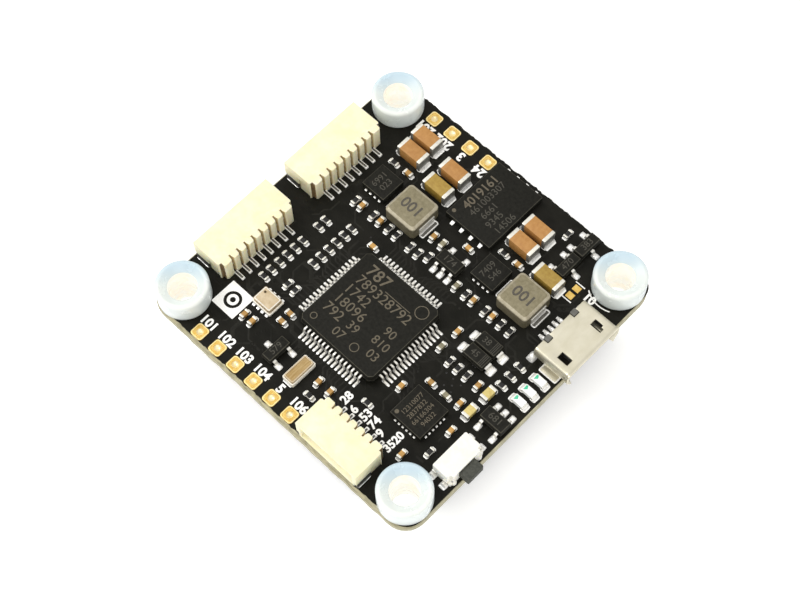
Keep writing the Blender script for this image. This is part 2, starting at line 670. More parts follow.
# copper tracks show as low ridges under the mask, vias as small rings
TRACK_RISE = 0.006
TRACK_WIDTH = 0.13
TRACK_WIDTHS = (TRACK_WIDTH, TRACK_WIDTH, 0.16, 0.3)
TRACK_COUNT = 260
TRACK_STEP = 1.6
VIA_RISE = 0.014
VIA_COUNT = 260
FAN_START = 1.15              # tracks of the controller start this far outside its body
CLEAR_OF_GROMMET = 3.3
LEAD_PITCH = 0.5
LEADS_PER_SIDE = 16
OPEN_VIAS = [(9.3, -3.3), (10.2, -3.3), (11.2, -3.3), (10.6, -3.9), (10.0, -4.4), (11.0, -4.5),
             (-6.45, 2.2), (10.6, -0.9), (10.9, -0.9)]
track_numbers = itertools.count()


def ribbon(path, width, rise):
    """Flat-topped ridge on the board along a path of (x, y) points."""
    points = []
    faces = []
    last = len(path) - 1
    for i, (x, y) in enumerate(path):
        d = Vector(path[min(i + 1, last)]) - Vector(path[max(i - 1, 0)])
        d = d.normalized() if d.length else Vector((1, 0))
        n = Vector((-d.y, d.x)) * width / 2
        for share, height in ((1.5, 0), (1, rise), (-1, rise), (-1.5, 0)):
            points.append((x + n.x * share, y + n.y * share, TOP + height))
    for i in range(last):
        for k in range(4):
            a, b = i * 4 + k, i * 4 + (k + 1) % 4
            faces.append((a, b, b + 4, a + 4))
    faces.append((3, 2, 1, 0))
    faces.append((4 * last, 4 * last + 1, 4 * last + 2, 4 * last + 3))
    return points, faces


def track(path, width):
    """Track a little higher than the one before, so that crossing tracks do not share a plane."""
    return ribbon(path, width, TRACK_RISE + 0.00002 * next(track_numbers))


def near_grommet(x, y):
    return min((Vector((x, y)) - g).length for g in GROMMETS) < CLEAR_OF_GROMMET


def wander(x, y, turns):
    """Track path that turns in steps of 45 degrees and stays on the board."""
    heading = random.choice((0, 90, 180, 270))
    path = [(x, y)]
    for _ in range(turns):
        length = random.uniform(0.4, 1.0) * TRACK_STEP
        x += length * math.cos(math.radians(heading))
        y += length * math.sin(math.radians(heading))
        if abs(x) > EDGE_X - 1.2 or abs(y) > EDGE_Y - 2.2 or near_grommet(x, y):
            break
        path.append((x, y))
        heading += random.choice((-45, 45))
    return path


def side_slots():
    """Turn about the controller and place along its side, for every lead."""
    for turn in (0, 90, 180, 270):
        for i in range(LEADS_PER_SIDE):
            yield turn, (i - (LEADS_PER_SIDE - 1) / 2) * LEAD_PITCH


tracks = Build()
for _ in range(TRACK_COUNT):
    start_x = random.uniform(-16, 16)
    start_y = random.uniform(-15.5, 15.5)
    if near_grommet(start_x, start_y):
        continue
    path = wander(start_x, start_y, random.randint(2, 4))
    if len(path) > 1:
        width = random.choice(TRACK_WIDTHS)
        tracks.add(track(path, width), random.choice((MASK, TRACK)))
via = lathe([(0.24, 0.0), (0.2, VIA_RISE), (0.13, VIA_RISE), (0.11, 0.01), (0.1, 0.0)], 12)
for _ in range(VIA_COUNT):
    spot = (random.uniform(-16.5, 16.5), random.uniform(-16.4, 16.4))
    if not near_grommet(*spot):
        tracks.add(via, MASK, at(*spot, TOP))
mcu_low, mcu_high = node_box("mcu_body")
mcu = (mcu_low + mcu_high) / 2
mcu_half = (mcu_high.x - mcu_low.x) / 2
for turn, across in side_slots():
    steps_out = abs(across) / LEAD_PITCH
    out = mcu_half + FAN_START
    bend = out + 0.35 + 0.12 * steps_out + random.uniform(0, 0.5)
    slant = 0.5 + 0.05 * steps_out
    path = [(out, across), (bend, across), (bend + slant, across + math.copysign(slant, across))]
    turned = at(mcu.x, mcu.y, 0, turn)
    tracks.add(track([(turned @ Vector((x, y, 0))).xy for x, y in path], TRACK_WIDTH), TRACK)
open_via = lathe([(0.1, 0.0), (0.08, 0.014), (0.05, 0.012), (0.04, 0.0)], 12)
for x, y in OPEN_VIAS:
    tracks.add(open_via, BLACK, at(x, y, TOP + 0.002))
tracks.finish("board_track_relief", angle=50)

# ---------------------------------------------------------------- printed legend
INK_RISE = 0.022
SIGNAL_LABELS = ["101", "102", "103", "104", "5", "106"]
POWER_LABELS = ["201", "202", "3", "24"]
SIDE_LABELS = [("28", 4.15), ("6", 5.5), ("53", 6.75), ("74", 7.9), ("9", 9.05)]
MARK = (-11.5, -12.25)
ARC_RADIUS = 2.98
ARC_STEPS = 16

ink = Build()
for box, label in zip(solids("signal_pads"), SIGNAL_LABELS):
    c = middle(box)
    ink.add(letters(label, c.x - 0.05, c.y + 1.25, 0.98, bold=0.05), INK)
for box, label in zip(solids("power_pads"), POWER_LABELS):
    c = middle(box)
    ink.add(letters(label, c.x, c.y - 1.38, 1.05, 180, bold=0.055), INK)
side_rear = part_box("side_socket_contacts")[1].y / MM
for label, x in SIDE_LABELS:
    ink.add(letters(label, x, side_rear + 0.15 + 0.38 * len(label), 0.92, 90, bold=0.045), INK)
ink.add(letters("3520", 10.6, side_rear + 0.78, 0.86, 90, bold=0.045), INK)
for b in solids("jumper_pads"):
    c = middle(b)
    y = c.y + (0.56 if c.y > 11.7 else -0.56)
    ink.add(flat_shape([round_rect(c.x - 0.6, y - 0.06, c.x + 0.6, y + 0.06, 0.04)], TOP, INK_RISE), INK)
ink.add(letters("10", 14.1, 12.2, 0.95, bold=0.05), INK)
# plain square mark with a ring in it
square = round_rect(MARK[0] - 1.5, MARK[1] - 1.52, MARK[0] + 1.5, MARK[1] + 1.52, 0.08)
ink.add(flat_shape([square, circle(*MARK, 0.95)], TOP, INK_RISE), INK)
ink.add(flat_shape([circle(*MARK, 0.62), circle(*MARK, 0.3)], TOP, INK_RISE), INK)
# arc beside the mounting hole next to the USB socket
hole = max(GROMMETS, key=lambda g: g.x + g.y)
angles = [math.radians(232 + 62 * i / ARC_STEPS) for i in range(ARC_STEPS + 1)]
arc = [(hole.x + ARC_RADIUS * math.cos(a), hole.y + ARC_RADIUS * math.sin(a)) for a in angles]
ink.add(ribbon(arc, 0.09, INK_RISE), INK)
ink.finish("board_legend", angle=30)

# ---------------------------------------------------------------- gold lands
PLATING = 0.05
PAD_CORNER = 0.32
LIP = 0.38                    # radius of the hole in a pad
bore = LIP - 0.02
barrel = [(BARREL, LOW), (BARREL, TOP + 0.03), (LIP, TOP + 0.05), (bore, TOP), (bore, LOW), (LIP, LOW - 0.04)]
film = [(0.37, 0.03), (0.32, -0.03), (0.2, -0.11), (0.0, -0.14), (0.0, -0.17), (0.22, -0.14), (0.34, -0.05)]
for node in ("signal_pads", "power_pads"):
    pads = Build()
    for b in solids(node):
        c = middle(b)
        for z in (TOP, LOW - PLATING):
            outline = inner_rect(b, 0, PAD_CORNER)
            pads.add(flat_shape([outline, circle(c.x, c.y, LIP, 20)], z, PLATING, 0.02), GOLD)
        edge = [inner_rect(b, k, PAD_CORNER - k / 2) for k in (0.02, 0.13)]
        pads.add(flat_shape(edge, TOP + 0.045, 0.02, 0.008), GOLD_RIM)
        pads.add(lathe(barrel, 24), GOLD, at(c.x, c.y))
        pads.add(lathe(film, 20), GOLD_DIP, at(c.x, c.y, TOP))
    pads.finish(node + "_plated", [node])
pads = Build()
for b in solids("jumper_pads"):
    pads.add(flat_shape([inner_rect(b, 0, 0.05)], TOP, 0.045, 0.015), GOLD)
pads.finish("jumper_pads_plated", ["jumper_pads"])

# ---------------------------------------------------------------- grommets
RIM = 2.75
RIM_ROUND = 0.34
SLOPE_START = RIM - 0.62      # radius at which the end face starts to slope in
BORE = 1.5
DISH = 0.5                    # the end face slopes in from the rim to the bore by this much


def flange(sign, base, end):
    """Half profile of one flange, from the waist out to the rim and in to the bore."""
    points = [(GROMMET_HOLE, base), (2.5, base + sign * 0.02), (RIM - 0.06, base + sign * 0.1),
              (RIM, base + sign * 0.3)]
    for k in range(9):
        a = math.radians(125 * k / 8)
        points.append((RIM - RIM_ROUND + RIM_ROUND * math.cos(a), end + sign * RIM_ROUND * (math.sin(a) - 1)))
    for t in (0.15, 0.4, 0.65, 0.85):
        points.append((SLOPE_START - t * (SLOPE_START - BORE), end - sign * (0.12 + t * (DISH - 0.12))))
    return points + [(BORE + 0.02, end - sign * (DISH + 0.02)), (BORE, end - sign * (DISH + 0.12))]


stand_low, stand_top = [corner.z for corner in solids("mounting_grommets")[0]]
profile = flange(1, TOP, stand_top) + flange(-1, LOW, stand_low)[::-1]
count = len(profile)
ring = lathe(profile, 72)
bore = range(count // 2 - 2, count // 2 + 1)
looks = [SILICONE_BORE if k % count in bore else SILICONE if k % count < count // 2 else SILICONE_LOW
         for k in range(len(ring[1]))]
grommets = Build()
for g in GROMMETS:
    grommets.add(ring, looks, at(g.x, g.y))
grommets.finish("grommets_soft", ["mounting_grommets"], angle=60)

# ---------------------------------------------------------------- chip parts
solder = Build()


def chip_set(name, body_look, coated=False):
    """Rebuilds a set of chip parts from the CAD solids with rounded bodies, plated ends and fillets."""
    bodies = Build()
    ends = Build()
    cap_boxes = solids(name + "_ends")
    for b in solids(name + "_bodies"):
        c, s = middle(b), size(b)
        along_x = any(abs(middle(e).y - c.y) < 0.05 and 0.1 < abs(middle(e).x - c.x) < s.x / 2 + 0.6
                      for e in cap_boxes)
        place = at(c.x, c.y, TOP, (0 if along_x else 90) + random.uniform(-1.2, 1.2))
        length, width = (s.x, s.y) if along_x else (s.y, s.x)
        height = b[1].z - TOP
        end = next(size(e) for e in cap_boxes if (middle(e) - c).length < length / 2 + 1.0)
        cap = end.x if along_x else end.y
        low = (-length / 2 - cap * 0.5, -width / 2, 0.02)
        if coated:
            bodies.add(soft_box(low, (-low[0], width / 2, height * 0.8), 0.02, 1), ALUMINA, place)
            bodies.add(soft_box((-length / 2, -width / 2 + 0.02, height * 0.6),
                                (length / 2, width / 2 - 0.02, height), 0.03), body_look, place)
        else:
            bodies.add(soft_box(low, (-low[0], width / 2, height), 0.05 * width), body_look, place)
        for side in (-1, 1):
            outer = side * (length / 2 + cap)
            inner_corner = (side * length / 2, -width / 2 - 0.02, 0.0)
            outer_corner = (outer, width / 2 + 0.02, height + 0.02)
            ends.add(soft_box(inner_corner, outer_corner, 0.07 * width + 0.015), TIN_CAP, place)
            spot = place @ at(outer - side * 0.02, 0, 0, 0 if side > 0 else 180)
            rise = min(height * random.uniform(0.5, 0.75), 0.42)
            solder.add(fillet(width * 0.92, 0.15 + 0.13 * width, rise), SOLDER, spot)
            solder.add(mound(width + 0.06, cap + 0.2, 0.05), SOLDER,
                       place @ at(side * (length / 2 + cap / 2 + 0.06), 0))
    bodies.finish(name + "_bodies_moulded", [name + "_bodies"])
    ends.finish(name + "_ends_plated", [name + "_ends"])


chip_set("power_capacitor", CERAMIC)
chip_set("filter_capacitor", OLIVE)
chip_set("supply_capacitor", PALE_TAN)
chip_set("small_capacitor", CAP_TAN)
chip_set("resistor", OVERCOAT, coated=True)
chip_set("bead", BEAD)


# ---------------------------------------------------------------- leaded packages
LEAD_SHEET = 0.12
MCU_LEAD_WIDTH = 0.22
MCU_LEAD_REACH = 1.0
MCU_LEAD_EXIT = 0.78


def bent_lead(start, toe, exit_height, width):
    """Gull-wing lead with rounded bends, from the body at x = start to the toe."""
    run = toe - start
    foot = LEAD_SHEET / 2 + 0.01
    middle_line = [
        (start - 0.05, exit_height), (start + 0.28 * run, exit_height),
        (start + 0.38 * run, exit_height - 0.04), (start + 0.45 * run, exit_height - 0.16),
        (start + 0.52 * run, LEAD_SHEET + 0.12), (start + 0.6 * run, LEAD_SHEET * 0.7),
        (start + 0.7 * run, foot), (toe, foot),
    ]
    w = width / 2
    c = 0.25 * LEAD_SHEET
    right_half = [(w - c, 1), (w, 0.5), (w, -0.5), (w - c, -1)]
    section = right_half + [(-y, k) for y, k in reversed(right_half)]
    loops = []
    last = len(middle_line) - 1
    for i, (x, z) in enumerate(middle_line):
        d = Vector(middle_line[min(i + 1, last)]) - Vector(middle_line[max(i - 1, 0)])
        d = d.normalized()
        n = Vector((-d.y, d.x)) * LEAD_SHEET / 2
        loops.append([(x + n.x * k, y, z + n.y * k) for y, k in section])
    return turned_over(tube_between(loops, capped=True))


def package_body(box, draft, chamfer, radius):
    """Moulded body filling a box, with drafted sides above and below a parting line."""
    bm = bmesh.new()
    rings = []
    dx, dy, _ = size(box)
    z0, z1 = box[0].z, box[1].z
    parting = (z0 + z1) / 2
    for inset, z in ((draft, z0), (0, parting), (0.012, parting + 0.01), (draft, z1)):
        x, y, c = dx / 2 - inset, dy / 2 - inset, chamfer
        half = [(x, -y + c), (x, y - c), (x - c, y), (-x + c, y)]
        rings.append([bm.verts.new((px, py, z)) for px, py in half + [(-px, -py) for px, py in half]])
    for a, b in zip(rings, rings[1:]):
        for i in range(8):
            j = (i + 1) % 8
            bm.faces.new((a[i], a[j], b[j], b[i]))
    bm.faces.new(rings[0][::-1])
    top = bm.faces.new(rings[-1])
    bmesh.ops.bevel(bm, geom=list(top.edges), offset=radius, segments=2, profile=0.5, affect="EDGES")
    return from_bmesh(bm)


def moulded(build, template, place=None):
    """Adds an epoxy body; its rounded upper edges get their own look."""
    points, faces = template
    looks = []
    for face in faces:
        a, b, c = [Vector(points[i]) for i in face[:3]]
        upward = (b - a).cross(c - a).normalized().z
        looks.append(EPOXY_EDGE if 0.25 < upward < 0.97 else EPOXY)
    build.add(template, looks, place)


MARK_RISE = 0.006
digits = random.Random(11)
marks = Build()
packages = Build()


def number_rows(x, y, z, rows, tall, gap=1.0, turn=0.0, look=LASER, bold=0.0):
    """Rows of plain random digits; a row is its digit count and its shift along the row."""
    place = at(x, y, 0, turn)
    for i, (count, shift) in enumerate(rows):
        shown = "".join(str(digits.randint(0, 9)) for _ in range(count))
        spot = place @ Vector((shift, ((len(rows) - 1) / 2 - i) * gap, 0))
        marks.add(letters(shown, spot.x, spot.y, tall, turn, z, MARK_RISE, bold), look)


moulded(packages, package_body((mcu_low, mcu_high), 0.1, 0.4, 0.06), at(mcu.x, mcu.y))
packages.finish("controller_body", ["mcu_body"])
mark_z = mcu_high.z
for dx, dy, outer in ((3.6, 3.6, 0.74), (-3.9, -3.9, 0.38), (1.4, -3.6, 0.5)):
    ring = [(outer, 0), (outer - 0.01, MARK_RISE), (outer - 0.08, MARK_RISE), (outer - 0.09, 0)]
    marks.add(lathe(ring, 32), LASER, at(mcu.x + dx, mcu.y + dy, mark_z))
number_rows(mcu.x - 2.2, mcu.y + 3.45, mark_z, [(3, 0)], 1.35, bold=0.02)
number_rows(mcu.x - 0.1, mcu.y - 0.15, mark_z, [(9, 0), (4, -2.2), (5, -1.8), (3, -2.7)], 1.15, 1.42)
number_rows(mcu.x + 2.9, mcu.y - 1.6, mark_z, [(2, 0), (3, 0.1), (2, 0.4)], 1.0, 1.42)
number_rows(mcu.x - 0.2, mcu.y - 2.9, mark_z, [(2, 0), (2, -0.6)], 1.0, 1.4)
under = (mcu.x - 0.6, mcu.y + 2.72, mark_z)
marks.add(soft_box(under, (under[0] + 3.4, under[1] + 0.08, mark_z + MARK_RISE), 0.002, 1), LASER)

leads = Build()
mcu_toe = mcu_half + MCU_LEAD_REACH
lead_shape = bent_lead(mcu_half, mcu_toe, MCU_LEAD_EXIT, MCU_LEAD_WIDTH)
for turn, across in side_slots():
    place = at(mcu.x, mcu.y, TOP, turn) @ at(0, across)
    leads.add(lead_shape, TIN, place)
    solder.add(mound(0.29, 0.95 + random.uniform(-0.04, 0.04), 0.09), SOLDER, place @ at(mcu_half + 0.78, 0))
    solder.add(fillet(0.24, 0.22, 0.1, 4, 3), SOLDER, place @ at(mcu_toe, 0))
leads.finish("controller_leads", ["mcu_leads"])


def leaded_set(body_node, lead_node, name, legs_name, lead_width):
    """Rebuilds small leaded packages: drafted bodies, bent leads and solder at each foot."""
    bodies = Build()
    legs = Build()
    for b in solids(body_node):
        c = middle(b)
        moulded(bodies, package_body(b, 0.09, 0.05, 0.07), at(c.x, c.y))
    for b in solids(lead_node):
        c = middle(b)
        home = nearest(body_node, c)
        off = c - middle(home)
        spare = (abs(off.x) - size(home).x / 2, abs(off.y) - size(home).y / 2)
        axis = 0 if spare[0] > spare[1] else 1
        side = 1 if off[axis] > 0 else -1
        centre = middle(home).copy()
        centre[1 - axis] = c[1 - axis]
        turn_out = (0 if side > 0 else 180) if axis == 0 else 90 * side
        start = size(home)[axis] / 2
        toe = abs(b[1 if side > 0 else 0][axis] - middle(home)[axis])
        spot = at(centre.x, centre.y, TOP, turn_out)
        legs.add(bent_lead(start, toe, size(b).z - LEAD_SHEET / 2, lead_width), TIN, spot)
        run = toe - start
        under_foot = spot @ at(toe - run * 0.2 + 0.1, 0)
        solder.add(mound(lead_width + 0.26, run * 0.55 + 0.55, 0.17), SOLDER, under_foot)
        solder.add(fillet(lead_width + 0.08, 0.3, 0.2), SOLDER, spot @ at(toe - 0.01, 0))
    bodies.finish(name, [body_node])
    legs.finish(legs_name, [lead_node])


leaded_set("transistor_bodies", "transistor_leads", "three_lead_bodies", "three_lead_legs", 0.4)
leaded_set("small_regulator_bodies", "small_regulator_leads", "five_lead_bodies", "five_lead_legs", 0.38)
leaded_set("diode_bodies", "diode_terminals", "diode_moulded_bodies", "diode_legs", 0.86)
for b in solids("transistor_bodies"):
    number_rows(*middle(b).xy, b[1].z, [(3, 0)], 0.7, turn=90, look=DIM_LASER)
for b in solids("small_regulator_bodies"):
    number_rows(*middle(b).xy, b[1].z, [(3, 0)], 0.75, look=DIM_LASER)
for b in solids("diode_bodies"):
    c = middle(b)
    number_rows(c.x - 0.3, c.y, b[1].z, [(2, 0)], 0.7, look=DIM_LASER)
    for x in (c.x + 0.6, c.x + 0.78, c.x + 0.96):
        band = soft_box((x, c.y - 0.66, b[1].z), (x + 0.06, c.y + 0.66, b[1].z + MARK_RISE), 0.002, 1)
        marks.add(band, DIM_LASER)


# ---------------------------------------------------------------- leadless packages
def leadless(body_node, land_node, name):
    """Square-edged package with its lands showing at the lower edge."""
    bodies = Build()
    lands = Build()
    for b in solids(body_node):
        moulded(bodies, soft_box(*b, 0.06))
    bodies.finish(name + "_body_moulded", [body_node])
    for b in solids(land_node):
        c, s = middle(b), size(b)
        home = nearest(body_node, c)
        off = c - middle(home)
        axis = 0 if abs(off.x) / size(home).x > abs(off.y) / size(home).y else 1
        out = Vector((0, 0))
        out[axis] = 1 if off[axis] > 0 else -1
        deep, wide = s[axis], s[1 - axis]
        edge = c.xy + out * deep / 2
        spot = at(edge.x, edge.y, TOP, math.degrees(math.atan2(out.y, out.x)))
        lands.add(soft_box((-deep, -wide / 2, 0.0), (0.012, wide / 2, 0.2), 0.02, 1), TIN, spot)
        reach = 0.42 if wide > 0.35 else 0.13
        solder.add(fillet(wide * 0.95, reach, 0.14, 4, 4), SOLDER, spot)
    lands.finish(name + "_lands_plated", [land_node])


leadless("flash_body", "flash_lands", "memory")
leadless("motion_sensor_body", "motion_sensor_lands", "motion_sensor")
leadless("regulator_bodies", "regulator_lands", "switching_regulator")
dot = lathe([(0.22, 0.0), (0.2, MARK_RISE), (0.0, 0.004), (0.0, 0.0)], 20)
low, high = node_box("flash_body")
mid = (low + high) / 2
number_rows(mid.x - 1.95, mid.y + 0.1, high.z, [(7, 0)], 1.0, turn=90, bold=0.02)
number_rows(mid.x + 0.7, mid.y, high.z, [(9, 0), (4, -0.9), (4, -1.3), (5, -0.9)], 0.8, 1.08, 90, DIM_LASER)
marks.add(dot, LASER, at(low.x + 0.5, low.y + 0.7, high.z))
low, high = node_box("motion_sensor_body")
mid = (low + high) / 2
number_rows(mid.x + 0.1, mid.y, high.z, [(8, 0.1), (7, 0), (8, 0), (5, 0)], 0.52, 0.74, 90)
marks.add(dot, LASER, at(low.x + 0.45, low.y + 0.5, high.z))
for b in solids("regulator_bodies"):
    number_rows(*middle(b).xy, b[1].z, [(4, 0), (3, 0)], 0.72, 0.95, 90, DIM_LASER)
marks.finish("package_marks", angle=30)

# pressure sensor: ceramic base, vented lid with a pale rim, soldered feet
base = Build()
base.add(soft_box(*solids("pressure_sensor_base")[0], 0.04), PALE_CERAMIC)
base.finish("pressure_sensor_laminate", ["pressure_sensor_base"])
low, high = node_box("pressure_sensor_lid")
vent = (low.x + 0.43, high.y - 0.5)
lid = Build()
can = [inner_rect((low, high), 0, 0.16), circle(*vent, 0.13, 20)]
lid.add(flat_shape(can, low.z, high.z - low.z, 0.06), LID)
rim_line = [inner_rect((low, high), 0.07, 0.12), inner_rect((low, high), 0.16, 0.08)]
lid.add(flat_shape(rim_line, high.z - 0.012, 0.018, 0.004), TIN)
lid.add(lathe([(0.15, -0.01), (0.15, 0), (0.0, 0), (0.0, -0.01)], 16), BLACK, at(*vent, low.z + 0.02))
lid.finish("pressure_sensor_can", ["pressure_sensor_lid"])
feet = Build()
for b in solids("pressure_sensor_lands"):
    c = middle(b)
    out = 1 if c.y > (low.y + high.y) / 2 else -1
    feet.add(soft_box(b[0], b[1] + Vector((0, 0, 0.18)), 0.02, 1), TIN)
    solder.add(fillet(0.34, 0.26, 0.14, 4, 4), SOLDER, at(c.x, c.y + out * 0.17, TOP, 90 * out))
feet.finish("pressure_sensor_feet", ["pressure_sensor_lands"])

# crystal: ceramic tray with a raised rim, metal lid with a raised rim
low, high = tray = node_box("crystal_base")
crystal = Build()
crystal.add(flat_shape([inner_rect(tray, 0, 0.15)], low.z, high.z - low.z, 0.04), PALE_CERAMIC)
rim_line = [inner_rect(tray, 0.01, 0.15), inner_rect(tray, 0.11, 0.1)]
crystal.add(flat_shape(rim_line, high.z - 0.01, 0.12, 0.02), PALE_CERAMIC)
crystal.finish("crystal_ceramic", ["crystal_base"])
mid = (low + high) / 2
for side in (-1, 1):
    solder.add(fillet(1.15, 0.16, 0.2), SOLDER, at(mid.x, mid.y + side * 1.58, TOP, 90 * side))
low, high = cover_box = node_box("crystal_lid")
lid_rim = [inner_rect(cover_box, inset, 0.26 - inset) for inset in (0.0, 0.15)]
lid = Build()
lid.add(flat_shape(lid_rim, low.z, high.z - low.z, 0.03), LID)
lid.add(flat_shape(lid_rim[1:], low.z, high.z - low.z - 0.06, 0.02), CRYSTAL_LID)
lid.finish("crystal_cover", ["crystal_lid"])

# indicator lights: white bases with a green polarity mark, clear lenses, soldered ends
lights = Build()
for b in solids("led_bases"):
    c = middle(b)
    lights.add(soft_box(*b, 0.03), LED_BODY)
    arrow = [(c.x - 0.52, c.y - 0.3), (c.x - 0.2, c.y - 0.02), (c.x - 0.38, c.y + 0.3),
             (c.x - 0.56, c.y + 0.26)]
    lights.add(flat_shape([arrow], b[1].z + 0.39, 0.03, 0.005), GREEN)
lights.finish("light_bases", ["led_bases"])
lenses = Build()
for b in solids("led_lenses"):
    wider = Vector((0.16, 0.02, 0))
    lenses.add(soft_box(b[0] - wider, b[1] + wider, 0.07, 3), LED_LENS)
lenses.finish("light_lenses", ["led_lenses"])
ends = Build()
for b in solids("led_ends"):
    c = middle(b)
    side = 1 if c.x > middle(nearest("led_bases", c)).x else -1
    ends.add(soft_box(b[0], b[1] + Vector((0, 0, 0.12)), 0.03), TIN)
    solder.add(fillet(0.88, 0.32, 0.34), SOLDER, at(c.x + side * 0.13, c.y, TOP, 0 if side > 0 else 180))
    solder.add(mound(0.92, 0.7, 0.06), SOLDER, at(c.x + side * 0.12, c.y, TOP))
ends.finish("light_ends", ["led_ends"])

# ---------------------------------------------------------------- inductors
cores = Build()
print_marks = Build()
for b in solids("inductor_cores"):
    c, s = middle(b), size(b)
    half = (s / 2).xy
    skirt = round_rect(-half.x, -half.y, half.x, half.y, 0.45, 6)
    deck = round_rect(-half.x + 0.34, -half.y + 0.34, half.x - 0.34, half.y - 0.34, 0.3, 6)
    rings = [(skirt, b[0].z, 1), (skirt, b[0].z + 0.9, 1), (skirt, b[1].z - 0.34, 1),
             (skirt, b[1].z - 0.22, 0.985), (deck, b[1].z - 0.03, 1.03), (deck, b[1].z, 0.985)]
    points, faces = tube_between([[(x * k, y * k, z) for x, y in outline] for outline, z, k in rings], True)
    looks = [CORE_RIM if 2 <= k // len(skirt) <= 3 else CORE for k in range(len(faces))]
    cores.add((points, faces), looks, at(c.x, c.y))
    print_marks.add(letters("100", c.x + 0.05, c.y + 0.05, 1.25, 180, b[1].z, 0.01, 0.03), MARKING)
cores.finish("inductor_pressed_cores", ["inductor_cores"], angle=30)
print_marks.finish("inductor_marks", angle=30)
clips = Build()
for b in solids("inductor_terminals"):
    c, s = middle(b), size(b)
    side = 1 if c.x > middle(nearest("inductor_cores", c)).x else -1
    edge = b[1].x if side > 0 else b[0].x
    clips.add(soft_box((edge, b[0].y, b[0].z), (edge - side * 0.14, b[1].y, b[1].z), 0.04), TIN)
    clips.add(soft_box((edge, b[0].y, b[0].z), (edge - side * 1.1, b[1].y, b[0].z + 0.12), 0.03), TIN)
    near, far = sorted((edge - side * 0.1, edge + side * 0.54))
    wide = s.y / 2 + 0.12
    rim_line = [round_rect(near, c.y - wide, far, c.y + wide, 0.2),
                round_rect(near + 0.13, c.y - wide + 0.13, far - 0.13, c.y + wide - 0.13, 0.1)]
    solder.add(flat_shape(rim_line, TOP, 0.2, 0.06), SOLDER)
    solder.add(mound(s.y + 0.2, 0.6, 0.12), TIN_DULL, at(edge + side * 0.26, c.y, TOP))
    spot = at(edge - side * 0.02, c.y, TOP, 0 if side > 0 else 180)
    solder.add(fillet(s.y * 0.9, 0.2, 0.3, 8, 6), SOLDER, spot)
clips.finish("inductor_clips", ["inductor_terminals"])

# ---------------------------------------------------------------- cable sockets
PITCH = 1.0
TOOTH_STEP = 0.55             # the teeth stand out this far behind the housing
END_WALL = 0.35               # housing beyond the row of teeth
SLOT_MOUTH = 0.16
SLOT_ROOT = 0.1


def way_places(ways):
    """Places of the contacts along a socket."""
    return [(i - (ways - 1) / 2) * PITCH for i in range(ways)]


def mirrored(outline):
    """A right half outline and its mirror image, as one loop."""
    return outline + [(-x, y) for x, y in reversed(outline)]


def socket_housing(ways, width, depth, height):
    """Side-entry housing before it is hollowed: toothed rear face on y = 0, mouth towards -Y."""
    half = width / 2
    tooth = half - END_WALL
    shoulder = [(half, -TOOTH_STEP - 0.12), (half - 0.12, -TOOTH_STEP), (tooth, -TOOTH_STEP), (tooth, -0.14),
                (tooth - 0.14, 0)]
    slot = [(SLOT_MOUTH + 0.1, 0), (SLOT_MOUTH, -0.1), (SLOT_ROOT, -0.38), (SLOT_ROOT, -TOOTH_STEP - 0.08)]
    outline = [(-half, -depth), (half, -depth)] + shoulder
    for x in reversed(way_places(ways)):
        outline += [(x + px, py) for px, py in mirrored(slot)]
    outline += [(-x, y) for x, y in reversed(shoulder)]
    return prism(outline, TOP, TOP + height)


def socket_hollows(width, depth):
    """The mouth, the gap under the front edge and the recesses in the two side walls."""
    half = width / 2
    hollows = [
        plain_box((-half - 0.1, -depth - 0.5, TOP - 0.2), (half + 0.1, -depth + 0.35, TOP + 0.24)),
        plain_box((-half + 0.6, -depth - 1, TOP + 0.45), (half - 0.6, -depth + 3.0, TOP + 2.5)),
    ]
    for side in (-1, 1):
        edge = side * (half - 0.12)
        hollows.append(plain_box((edge, -depth + 2.0, TOP - 0.2), (edge + side, -0.7, TOP + 1.9)))
        hollows.append(plain_box((edge - side * 0.2, -depth - 0.5, TOP - 0.2),
                                 (edge + side, -depth + 2.05, TOP + 0.95)))
    return hollows


def shade_housing(obj, homes, ways, width, height):
    """Gives the slots between the teeth and the corners beside them their own looks."""
    obj.data.materials.append(NYLON_SLOT)
    obj.data.materials.append(NYLON_SHADE)
    tooth = width / 2 - END_WALL
    for face in obj.data.polygons:
        x, y, z = min((home @ (face.center / MM) for home in homes), key=lambda v: v.length)
        if z > TOP + height - 0.06:
            continue
        off = (x + ways / 2) % PITCH - PITCH / 2
        in_slot = abs(x) < ways / 2 and abs(off) < SLOT_MOUTH + 0.03 and -TOOTH_STEP - 0.15 < y < -0.06
        beside = abs(abs(x) - tooth) < 0.03 and -TOOTH_STEP < y < -0.12
        behind = tooth < abs(x) < width / 2 - 0.1 and abs(y + TOOTH_STEP) < 0.03
        if beside or behind:
            face.material_index = 2
        elif in_slot:
            face.material_index = 1


